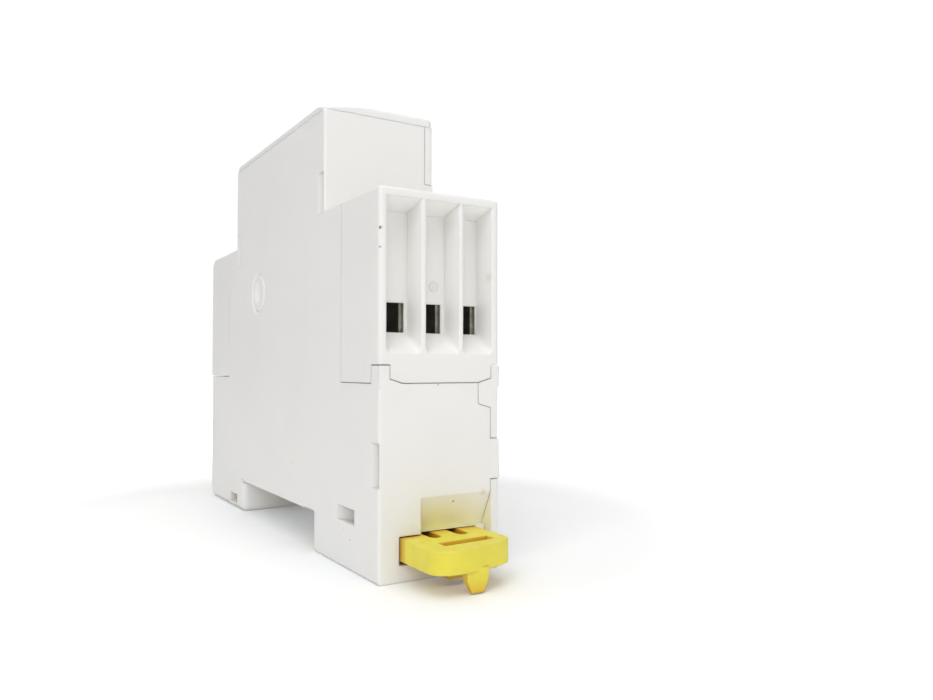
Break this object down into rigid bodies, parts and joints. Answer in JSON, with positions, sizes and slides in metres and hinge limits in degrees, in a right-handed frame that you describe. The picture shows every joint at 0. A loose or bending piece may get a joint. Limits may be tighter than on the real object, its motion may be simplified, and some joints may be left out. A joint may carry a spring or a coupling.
{
  "type": "circuit breaker",
  "caption": "Slim single-module rail-mounted circuit breaker: stepped white housing, sliding yellow rail clip, recessed screw-cage terminals, front toggle and full trip mechanism.",
  "frame": {"origin": "centre of the rail seat face between the two feet, on the module's middle plane", "axes": "+Z away from the rail towards the toggle, +Y towards the far end (opposite the pull-out clip), +X across the module width"},
  "size_m": [0.018, 0.0914, 0.0692],
  "materials": {
    "housing_white": "fine moulded texture, satin",
    "cap_white": "smooth moulded, satin",
    "clip_yellow": "smooth moulded polyamide",
    "toggle_dark": "moulded, lightly polished",
    "zinc_steel": "bright zinc plated",
    "spring_steel": "drawn wire",
    "soft_iron": "plain stamped",
    "copper": "stamped copper",
    "tinned_copper": "tinned",
    "enamel_copper": "enamelled wire",
    "silver_tip": "silver alloy",
    "bimetal": "rolled",
    "carrier_black": "glass filled",
    "trip_plastic": "moulded",
    "bobbin_plastic": "moulded",
    "fibre_board": "vulcanised fibre",
    "partition_grey": "moulded"
  },
  "bodies": {
    "housing": {"left_shell": "housing_white", "right_cover": "housing_white", "near_terminal_block": "housing_white", "far_terminal_block": "housing_white", "front_cap": "cap_white", "inner_partition": "partition_grey", "toggle_pin": "zinc_steel", "carrier_shaft": "zinc_steel", "trip_pin": "zinc_steel", "phase_fixed_contact": "copper", "fixed_contact_tips": "silver_tip", "neutral_fixed_contact": "tinned_copper", "neutral_load_bar": "tinned_copper", "phase_load_bar": "tinned_copper", "phase_line_bar": "tinned_copper", "calibration_screw": "zinc_steel", "aux_fixed_contact": "tinned_copper", "aux_line_bar": "tinned_copper", "coil_bobbin": "bobbin_plastic", "magnet_coil": "enamel_copper", "magnet_yoke": "soft_iron", "fixed_core": "soft_iron", "arc_splitter_plates": "soft_iron", "arc_side_plates": "fibre_board", "arc_runner": "copper", "phase_braid": "copper", "neutral_braid": "copper"},
    "toggle_lever": {"toggle": "toggle_dark", "toggle_spring": "spring_steel"},
    "link": {"drive_link": "spring_steel"},
    "carrier": {"contact_carrier": "carrier_black", "trip_latch": "zinc_steel", "phase_moving_arm": "copper", "neutral_moving_arm": "copper", "arm_pins": "zinc_steel", "moving_contact_tips": "silver_tip", "contact_springs": "spring_steel"},
    "trip": {"trip_lever": "trip_plastic", "trip_spring": "spring_steel"},
    "bimetal": {"bimetal_strip": "bimetal"},
    "magnet_plunger": {"plunger": "soft_iron", "push_pin": "zinc_steel", "plunger_spring": "spring_steel"},
    "aux_contact": {"aux_blade": "tinned_copper"},
    "near_clip": {"near_rail_clip": "clip_yellow"},
    "far_clip": {"far_rail_clip": "clip_yellow"},
    "near_screw_1": {"near_terminal_screw_1": "zinc_steel"},
    "near_clamp_1": {"near_cage_1": "zinc_steel"},
    "near_screw_2": {"near_terminal_screw_2": "zinc_steel"},
    "near_clamp_2": {"near_cage_2": "zinc_steel"},
    "near_screw_3": {"near_terminal_screw_3": "zinc_steel"},
    "near_clamp_3": {"near_cage_3": "zinc_steel"},
    "far_screw_1": {"far_terminal_screw_1": "zinc_steel"},
    "far_clamp_1": {"far_cage_1": "zinc_steel"},
    "far_screw_2": {"far_terminal_screw_2": "zinc_steel"},
    "far_clamp_2": {"far_cage_2": "zinc_steel"},
    "far_screw_3": {"far_terminal_screw_3": "zinc_steel"},
    "far_clamp_3": {"far_cage_3": "zinc_steel"}
  },
  "joints": [
    {"name": "toggle_swing", "type": "hinge", "parent": "housing", "child": "toggle_lever", "pos_m": [0, 0.001, 0.052], "axis": [1, 0, 0], "range_deg": [0, 76]},
    {"name": "link_swing", "type": "hinge", "parent": "toggle_lever", "child": "link", "pos_m": [-0.00185, -0.00085, 0.04964], "axis": [1, 0, 0], "range_deg": [-76.5, 0.5]},
    {"name": "carrier_swing", "type": "hinge", "parent": "housing", "child": "carrier", "pos_m": [0, -0.006, 0.036], "axis": [1, 0, 0], "range_deg": [-18.7, 0.2], "deforming": ["phase_braid", "neutral_braid"]},
    {"name": "aux_blade_flex", "type": "hinge", "parent": "housing", "child": "aux_contact", "pos_m": [0.0049, 0.018, 0.042], "axis": [1, 0, 0], "range_deg": [-3.1, 0.1]},
    {"name": "trip_lever_swing", "type": "hinge", "parent": "housing", "child": "trip", "pos_m": [-0.0052, -0.013, 0.033], "axis": [-1, 0, 0], "range_deg": [0, 8]},
    {"name": "bimetal_flex", "type": "hinge", "parent": "housing", "child": "bimetal", "pos_m": [-0.0025, -0.0222, 0.0206], "axis": [-1, 0, 0], "range_deg": [0, 3.8]},
    {"name": "plunger_slide", "type": "slide", "parent": "housing", "child": "magnet_plunger", "axis": [0, -1, 0], "range_m": [0, 0.0025]},
    {"name": "near_clip_slide", "type": "slide", "parent": "housing", "child": "near_clip", "axis": [0, -1, 0], "range_m": [0, 0.0055]},
    {"name": "far_clip_slide", "type": "slide", "parent": "housing", "child": "far_clip", "axis": [0, 1, 0], "range_m": [0, 0.003]},
    {"name": "near_screw_1_turn", "type": "hinge", "parent": "housing", "child": "near_screw_1", "pos_m": [-0.0055, -0.03145, 0.039], "axis": [0, 0, -1], "range_deg": [-1, 2161]},
    {"name": "near_clamp_1_lift", "type": "slide", "parent": "housing", "child": "near_clamp_1", "axis": [0, 0, 1], "range_m": [0, 0.003]},
    {"name": "near_screw_2_turn", "type": "hinge", "parent": "housing", "child": "near_screw_2", "pos_m": [0.0001, -0.03145, 0.039], "axis": [0, 0, -1], "range_deg": [-1, 2161]},
    {"name": "near_clamp_2_lift", "type": "slide", "parent": "housing", "child": "near_clamp_2", "axis": [0, 0, 1], "range_m": [0, 0.003]},
    {"name": "near_screw_3_turn", "type": "hinge", "parent": "housing", "child": "near_screw_3", "pos_m": [0.0057, -0.03145, 0.039], "axis": [0, 0, -1], "range_deg": [-1, 2161]},
    {"name": "near_clamp_3_lift", "type": "slide", "parent": "housing", "child": "near_clamp_3", "axis": [0, 0, 1], "range_m": [0, 0.003]},
    {"name": "far_screw_1_turn", "type": "hinge", "parent": "housing", "child": "far_screw_1", "pos_m": [-0.0055, 0.0332, 0.039], "axis": [0, 0, -1], "range_deg": [-1, 2161]},
    {"name": "far_clamp_1_lift", "type": "slide", "parent": "housing", "child": "far_clamp_1", "axis": [0, 0, 1], "range_m": [0, 0.003]},
    {"name": "far_screw_2_turn", "type": "hinge", "parent": "housing", "child": "far_screw_2", "pos_m": [0.0001, 0.0332, 0.039], "axis": [0, 0, -1], "range_deg": [-1, 2161]},
    {"name": "far_clamp_2_lift", "type": "slide", "parent": "housing", "child": "far_clamp_2", "axis": [0, 0, 1], "range_m": [0, 0.003]},
    {"name": "far_screw_3_turn", "type": "hinge", "parent": "housing", "child": "far_screw_3", "pos_m": [0.0057, 0.0332, 0.039], "axis": [0, 0, -1], "range_deg": [-1, 2161]},
    {"name": "far_clamp_3_lift", "type": "slide", "parent": "housing", "child": "far_clamp_3", "axis": [0, 0, 1], "range_m": [0, 0.003]}
  ],
  "couplings": [
    {"joint": "link_swing", "follows": "toggle_swing", "ratio": -1},
    {"joint": "carrier_swing", "follows": "toggle_swing", "ratio": -0.24425},
    {"joint": "aux_blade_flex", "follows": "toggle_swing", "ratio": -0.039474},
    {"joint": "near_screw_1_turn", "follows": "near_clamp_1_lift", "rad_per_m": 12566},
    {"joint": "near_screw_2_turn", "follows": "near_clamp_2_lift", "rad_per_m": 12566},
    {"joint": "near_screw_3_turn", "follows": "near_clamp_3_lift", "rad_per_m": 12566},
    {"joint": "far_screw_1_turn", "follows": "far_clamp_1_lift", "rad_per_m": 12566},
    {"joint": "far_screw_2_turn", "follows": "far_clamp_2_lift", "rad_per_m": 12566},
    {"joint": "far_screw_3_turn", "follows": "far_clamp_3_lift", "rad_per_m": 12566}
  ]
}
